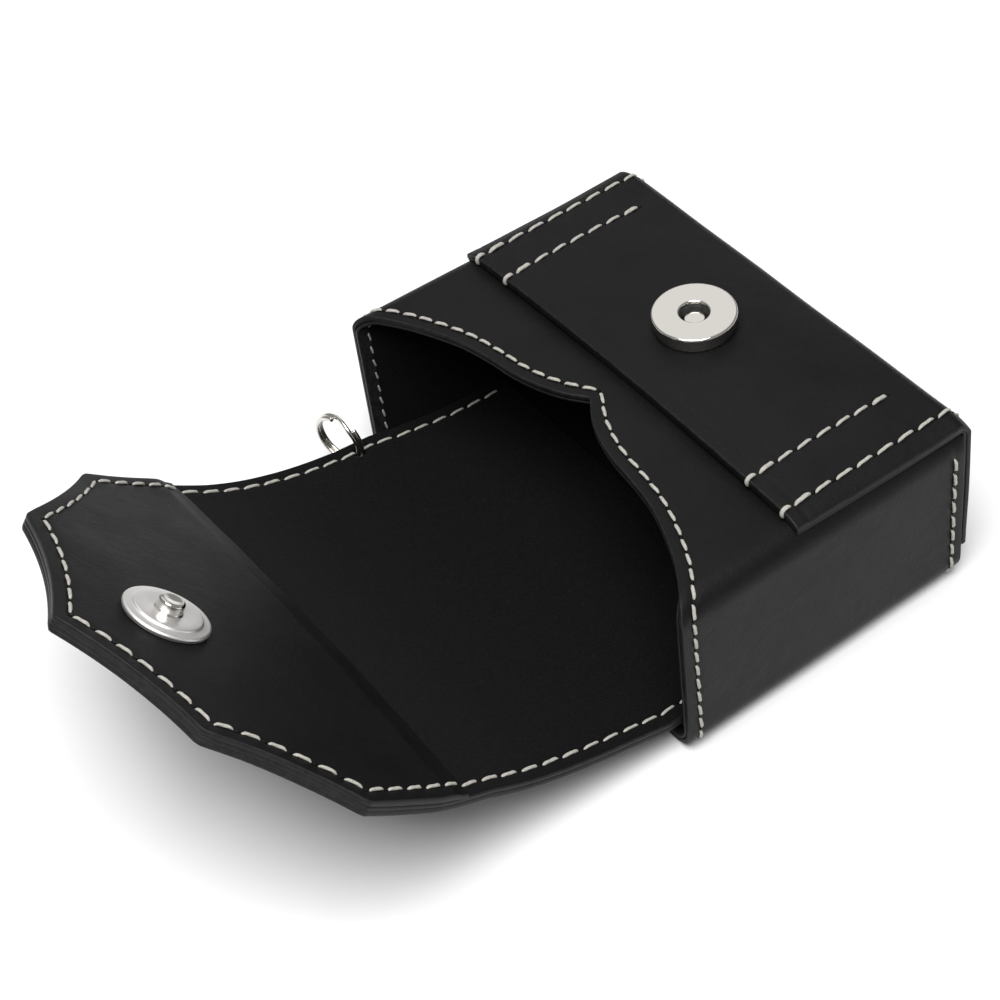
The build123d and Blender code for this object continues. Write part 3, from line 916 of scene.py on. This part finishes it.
def flap_piece(name, s_from, s_to, high, low, face, rounding, relief,
               cut_start=False, cut_end=False, skew=0.0):
    """One length of one layer; the shaped tip ends it if s_to is None."""
    x = span_columns(FLAP_HALF, 1.3, include=(-HORN_HALF, 0.0, HORN_HALF))
    end = flap_edge_s(x) if s_to is None else np.full_like(x, s_to)
    start = s_from + skew * x
    q = start[:, None] + row_stations(end - start, 1.3)
    step = np.gradient(end, x)
    lean = 1 / np.hypot(1, step)
    distance = np.repeat((FLAP_HALF - np.abs(x))[:, None], q.shape[1], axis=1)
    if cut_start:
        distance = np.minimum(distance, q - start[:, None])
    if cut_end:
        distance = np.minimum(distance, (end[:, None] - q) * lean[:, None])
    return shell(name, flap_surface, x, q, distance, high, low, [face, EDGE, face],
                 relief=lambda aa, qq: relief(aa, qq, distance), rounding=rounding)


def flap_relief(x, s, _distance):
    """Pulled down along the stitch lines at both sides."""
    side = FLAP_HALF - np.abs(x)
    return groove(side, FLAP_ROW_INSET, 0.14, 0.8) * smoothstep((SHOULDER - s) / 3.0)


def flap_back_relief(x, s, distance):
    return flap_relief(x, s, distance) + 0.08 * ripple(x, s, 24.0, 17)


FACING_SKIVE = 0.75         # the facing is this much thinner at its straight edge


def facing_relief(x, s, distance):
    """Skived thin and creased along its straight edge, pulled down along the stitches."""
    from_edge = s - FACING_START - FACING_SKEW * x
    skive = -FACING_SKIVE * (1 - smoothstep(from_edge / 4.5))
    crease = groove(from_edge, 2.1, 0.10, 0.35)
    return skive + crease + groove(distance, FLAP_ROW_INSET, 0.16, 0.8) + 0.08 * ripple(x, s, 20.0, 23)


def flap_point(x, s, h):
    """One point of the flap, in the drawing frame."""
    return flap_surface(np.array([x]), np.array([s]), np.array([h]))[0]


def fold_point(s):
    return tuple(float(v) for v in place(flap_point(0.0, s, 0.0))[0])


def bend_root(piece):
    reach = 6.5
    fold_point(BACK_FOLD - reach)
    fold_point(BACK_FOLD + reach)
    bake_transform(piece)


def bend_front(piece):
    reach = 9.0
    fold_point(FRONT_FOLD - reach)
    fold_point(FRONT_FOLD + reach)
    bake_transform(piece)


leather_low, leather_high = -FLAP_T, -FLAP_LINING_T
lining_low = leather_high + 0.02
flap_leather_inner = flap_piece("flap_leather_root", ROOT_END, FLAP_SPLIT, leather_high, leather_low,
                                LEATHER, INNER, flap_back_relief, cut_start=True)
flap_leather_outer = flap_piece("flap_leather_front", FLAP_SPLIT, None, leather_high, leather_low,
                                LEATHER, INNER, flap_back_relief, cut_end=True)
flap_suede_inner = flap_piece("flap_lining_root", ROOT_END, FLAP_SPLIT, 0.0, lining_low,
                              SUEDE, OUTER, flap_relief, cut_start=True)
flap_suede_outer = flap_piece("flap_lining_front", FLAP_SPLIT, None, 0.0, lining_low,
                              SUEDE, OUTER, flap_relief, cut_end=True)
flap_facing = flap_piece("flap_facing_leather", FACING_START, None, FACING_T, 0.02,
                         FACING, OUTER, facing_relief, cut_start=True, cut_end=True, skew=FACING_SKEW)


def punch_ring_hole(piece):
    """A round hole for the split ring through one layer of the flap."""
    at = flap_point(RING_X, RING_S, -FLAP_T / 2)
    angle = float(np.interp(RING_S, TABLE_S, TABLE_A))
    bpy.ops.mesh.primitive_cylinder_add(vertices=48, radius=EYELET_R * MM, depth=12 * MM,
                                        location=tuple(place(at)[0]), rotation=(-angle, 0, 0))
    cutter = bpy.context.active_object
    cutter.data.materials.append(EDGE)
    modifier = piece.modifiers.new("hole", "BOOLEAN")
    modifier.operation = "DIFFERENCE"
    modifier.object = cutter
    modifier.solver = "EXACT"
    modifier.material_mode = "TRANSFER"
    depsgraph = bpy.context.evaluated_depsgraph_get()
    cut = bpy.data.meshes.new_from_object(piece.evaluated_get(depsgraph), depsgraph=depsgraph)
    piece.modifiers.clear()
    piece.data = cut
    bpy.data.objects.remove(cutter)


for piece in (flap_leather_inner, flap_suede_inner):
    punch_ring_hole(piece)
    bend_root(piece)
for piece in (flap_leather_outer, flap_suede_outer):
    bend_front(piece)
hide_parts("flap_root_leather")
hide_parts("flap_top_leather", "flap_front_leather")
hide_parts("flap_root_lining")
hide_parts("flap_top_lining", "flap_front_lining")
join(flap_facing, "flap_front", "leather", "flap_facing")


# ---------------------------------------------------------------- the snap's stud
def snap_stud():
    """The half on the facing: a stepped plate and the pin that enters the socket."""
    angle = float(np.interp(STUD_AT, TABLE_S, TABLE_A))
    axis = (0, math.sin(angle), math.cos(angle))
    beside = -float(along_flap(FLAP_SWING, STUD_AT))
    origin = flap_point(beside, STUD_AT, FACING_T)
    plate = ([(0, 0.0), (SNAP_R - 0.2, 0.0)] + arc((SNAP_R - 0.55, 0.55), 0.55, -60, 90, 10)
             + [(SNAP_R - 1.2, 1.12), (SNAP_R - 1.7, 1.22)]
             + arc((SNAP_R - 2.3, 1.25), 0.45, 0, 90, 5) + [(5.6, PLATE_T), (4.4, PLATE_T - 0.02)]
             + [(3.6, PLATE_T - 0.1), (PIN_R + 0.3, PLATE_T - 0.12), (0, PLATE_T - 0.12)])
    top = PLATE_T + PIN_H
    pin = ([(0, PLATE_T - 0.3), (PIN_R + 0.25, PLATE_T - 0.3), (PIN_R + 0.25, PLATE_T - 0.05)]
           + arc((PIN_R + 0.3, PLATE_T + 0.25), 0.3, -90, -180, 4)
           + arc((PIN_R - 0.6, top - 0.6), 0.6, 0, 90, 8)
           + [(1.2, top - 0.05), (0.5, top - 0.25), (0, top - 0.3)])
    for name, profile, node, metal in (("stud_plate_disc", plate, "stud_plate", PLATE),
                                       ("stud_pin_post", pin, "stud_pin", NICKEL)):
        piece = lathe(name, profile, origin, axis, metal)
        join(piece, "flap_front", "nickel", node)


snap_stud()


# ---------------------------------------------------------------- the split ring
def split_ring():
    """Two turns of half round wire; one turn steps over to the other in a short crossing."""
    lean = np.array(RING_LEAN) / np.linalg.norm(RING_LEAN)
    hole = flap_point(RING_X, RING_S, -FLAP_T / 2)
    centre = hole + lean * RING_R
    axis = np.cross(lean, (0, 0, 1.0))
    axis /= np.linalg.norm(axis)
    cross = np.cross(axis, lean)
    crossing = math.radians(24)
    turned = math.radians(100)
    angles = np.linspace(crossing * 1.08, 4 * math.pi - crossing * 1.08, 240)
    half = RING_WIRE * 0.46
    shift = half * (2 * smoothstep((angles - (2 * math.pi - crossing)) / (2 * crossing)) - 1)
    points = []
    frames = []
    for angle, offset in zip(angles, shift):
        outward = -lean * math.cos(angle + turned) + cross * math.sin(angle + turned)
        points.append(centre + outward * RING_R + axis * offset)
        frames.append((outward, axis))
    around = np.linspace(0, 2 * math.pi, 14, endpoint=False)
    outline = np.stack([np.cos(around) * RING_WIRE * 0.5, np.sin(around) * half * 0.96], axis=1)
    vertices, faces = tube(points, frames, lambda k: outline)
    return make_object("split_ring_coil", np.array(vertices), faces, [NICKEL])


ring = split_ring()
join(ring, "ring", "nickel", "split_ring")


# ---------------------------------------------------------------- thread
def path_on(surface, a_values, q_values, height):
    """A stitch line on a surface: points with outward normals."""
    a = np.asarray(a_values, float)
    q = np.asarray(q_values, float)
    height = np.zeros_like(a) + height
    low = surface(a, q, height)
    high = surface(a, q, height + 0.5)
    normal = (high - low) / 0.5
    return list(zip(low, normal))


def thread_piece(name, rows, seed, body, thread_r=THREAD_R):
    piece = stitches(name, rows, seed, thread_r)
    if callable(body):
        body(piece)
    else:
        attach(piece, body)
    return piece


def mouth_paths(height, flip):
    """The stitch line round the whole mouth, as two halves that meet at the cusp."""
    a = pouch_columns(0.5)
    a = np.concatenate([a[a >= 0.5], a[a < 0.5] + 8.0])
    x = pouch_surface(np.mod(a, 8.0), np.zeros_like(a) + 8.0, np.zeros_like(a))[:, 0]
    on_front = (np.mod(a, 8.0) >= 7.0) | (np.mod(a, 8.0) <= 2.0)
    start = np.where(on_front, mouth_at(x), 0.0)
    edge = pouch_surface(a, start, np.zeros_like(a))
    run = np.linalg.norm(np.gradient(edge[:, [0, 2]], axis=0), axis=1)
    rise = np.gradient(edge[:, 1])
    lean = np.hypot(run, rise) / np.maximum(run, 1e-6)
    stretch = np.where(np.abs(x) < 4.0, 1.0 + (lean - 1.0) * np.abs(x) / 4.0, lean)
    path = path_on(pouch_surface, a, start + ROW_INSET * stretch, height)
    if flip:
        path = [(p, -n) for p, n in path]
    return path


def case_threads():
    outside = mouth_paths(-0.14, False)
    inside = mouth_paths(-WALL_T + 0.30, True)
    count = int(round(path_length(outside) / 4.0))
    thread_piece("thread_mouth", [(outside, count, 0.88, 0.16, (0, 0))], 31, "case")
    thread_piece("thread_mouth_inside", [(inside, count, 0.80, 0.30, (0, 0))], 32, "case", THREAD_R * 0.7)
    rows = []
    y = BODY_LENGTH - 2.9
    for low_a, high_a in ((RIGHT + 0.0, BACK_RIGHT + 0.75), (BACK_LEFT + 0.25, FRONT_LEFT + 0.0)):
        a = np.linspace(low_a, high_a, 80)
        path = path_on(pouch_surface, a, np.full_like(a, y), -0.05)
        rows.append((path, 9, 0.88, 0.16, (0, 0)))
    back = np.linspace(BACK + 0.02, BACK + 0.98, 120)
    rows.append((path_on(pouch_surface, back, np.full_like(back, y), -0.05), 24, 0.88, 0.16, (0, 0)))
    thread_piece("thread_bottom", rows, 33, "case")


def strap_threads():
    """Four rows; each starts with a heavy stitch that wraps the free edge of the panel."""
    rows = []
    first_hole = 2.3
    for x in STRAP_ROWS:
        start = strap_surface(np.array([x]), np.array([0.0]), np.array([STRAP_T]))[0]
        over = []
        for drop in np.linspace(STRAP_T - 0.1, 0.6, 6):
            over.append((start + np.array([0, 0.12, -drop]), np.array([0, -1.0, 0])))
        for angle in np.linspace(0, math.pi / 2, 8)[1:]:
            normal = np.array([0, -math.cos(angle), math.sin(angle)])
            over.append((start + np.array([0, 0.5, -0.5]) + normal * 0.36, normal))
        q = np.linspace(0.6, first_hole, 12)
        over += path_on(strap_surface, np.full_like(q, x), q, STRAP_T - 0.14)
        rows.append((over, 1, 0.99, 0.10, (1, 0)))
        outer = abs(x) > 45
        last = STRAP_LENGTH - 2.0 if outer else INNER_ROW_END
        q = np.linspace(first_hole + 0.1, last, 260)
        flat = path_on(strap_surface, np.full_like(q, x), q, STRAP_T - 0.14)
        rows.append((flat, 14 if outer else 7, 0.90, 0.22, (1, 1)))
    thread_piece("thread_strap", rows, 34, "case")


def flap_threads():
    """The row round the flap, on the lining side and on the leather side."""
    side_x = FLAP_HALF - FLAP_ROW_INSET
    first_arc, second_arc = shaped_end(FLAP_ROW_INSET)
    corner_s = float(first_arc[0, 1])
    for side_name, under in (("inside", False), ("outside", True)):
        root_rows = []
        front_rows = []

        def row(x, s, height):
            path = path_on(flap_surface, x, s, height)
            return [(p, -n) for p, n in path] if under else path

        plain = -FLAP_T + 0.14 if under else -0.20
        for sign in (-1, 1):
            x = sign * side_x
            facing_edge = FACING_START + FACING_SKEW * x
            s = np.linspace(ROOT_END + 3.0, FLAP_SPLIT, 160)
            root_rows.append((row(np.full_like(s, x), s, plain), 11, 0.90, 0.18, (0, 0)))
            s = np.linspace(FLAP_SPLIT, facing_edge - 0.2, 90)
            front_rows.append((row(np.full_like(s, x), s, plain), 6, 0.90, 0.18, (0, 0)))
            s = np.linspace(facing_edge + 0.2, corner_s, 60)
            skive = FACING_SKIVE * (1 - smoothstep((s - facing_edge) / 4.5))
            height = plain if under else FACING_T - 0.15 - skive
            front_rows.append((row(np.full_like(s, x), s, height), 5, 0.86, 0.16, (0, 0)))
            for arc_run, count in ((first_arc, 6), (second_arc, 7)):
                arc_row = row(sign * arc_run[:, 0], arc_run[:, 1], plain if under else FACING_T - 0.15)
                front_rows.append((arc_row, count, 0.80, 0.14, (0, 0)))
        thread_piece("thread_flap_root_" + side_name, root_rows, 41 + under, bend_root, THREAD_R * 0.85)
        thread_piece("thread_flap_front_" + side_name, front_rows, 43 + under, bend_front)


case_threads()
strap_threads()
flap_threads()

# hidden fittings keep their CAD shape
for name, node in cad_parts.items():
    if not node.hide_render:
        node.data.materials.clear()
        node.data.materials.append(NICKEL)


# ---------------------------------------------------------------- floor, light and camera
def studio():
    floor_z = -0.0003
    mesh = bpy.data.meshes.new("floor")
    corners = [(-4, -4, floor_z), (4, -4, floor_z), (4, 4, floor_z), (-4, 4, floor_z)]
    mesh.from_pydata(corners, [], [(0, 1, 2, 3)])
    material, _, shader = nodes_of("floor_paper")
    shader.inputs["Base Color"].default_value = (0.88, 0.88, 0.88, 1)
    shader.inputs["Roughness"].default_value = 0.9
    shader.inputs["Specular IOR Level"].default_value = 0.1
    mesh.materials.append(material)
    floor = bpy.data.objects.new("floor", mesh)
    bpy.context.scene.collection.objects.link(floor)

    world = bpy.data.worlds.new("studio")
    world.use_nodes = True
    world.node_tree.nodes["Background"].inputs["Color"].default_value = (1.0, 1.0, 1.0, 1)
    world.node_tree.nodes["Background"].inputs["Strength"].default_value = 0.30
    bpy.context.scene.world = world
    bpy.context.scene.view_settings.view_transform = "Standard"

    def lamp(name, location, target, size, power):
        data = bpy.data.lights.new(name, "AREA")
        data.shape = "RECTANGLE"
        data.size, data.size_y = size
        data.energy = power
        obj = bpy.data.objects.new(name, data)
        bpy.context.scene.collection.objects.link(obj)
        direction = Vector(target) - Vector(location)
        obj.location = location
        obj.rotation_euler = direction.to_track_quat("-Z", "Y").to_euler()

    lamp("key", (0.25, -0.25, 0.95), (0, 0, 0), (0.7, 0.7), 13.0)
    lamp("sky", (-0.62, 0.36, 0.73), (0, 0, 0.03), (0.8, 0.8), 1.35)


def camera():
    """The photograph's view: azimuth and elevation of the lens, its roll, distance and aim."""
    azimuth, elevation, roll = (math.radians(v) for v in (60.14, 45.58, -8.33))
    distance, aside, lift, lens = 514.13, 4.89, -19.64, 86.92
    back = Vector((math.sin(azimuth) * math.cos(elevation), -math.cos(azimuth) * math.cos(elevation),
                   math.sin(elevation)))
    right = Vector((math.cos(azimuth), math.sin(azimuth), 0))
    up = back.cross(right)
    right_rolled = right * math.cos(roll) + up * math.sin(roll)
    up_rolled = up * math.cos(roll) - right * math.sin(roll)
    centre = back * distance - right_rolled * aside - up_rolled * lift
    matrix = Matrix((right_rolled, up_rolled, back)).transposed().to_4x4()
    matrix.translation = Vector(place(tuple(centre))[0])
    data = bpy.data.cameras.new("camera")
    data.lens = lens
    data.sensor_width = 36.0
    data.clip_start = 0.01
    obj = bpy.data.objects.new("camera", data)
    obj.matrix_world = matrix
    bpy.context.scene.collection.objects.link(obj)
    bpy.context.scene.camera = obj


studio()
camera()
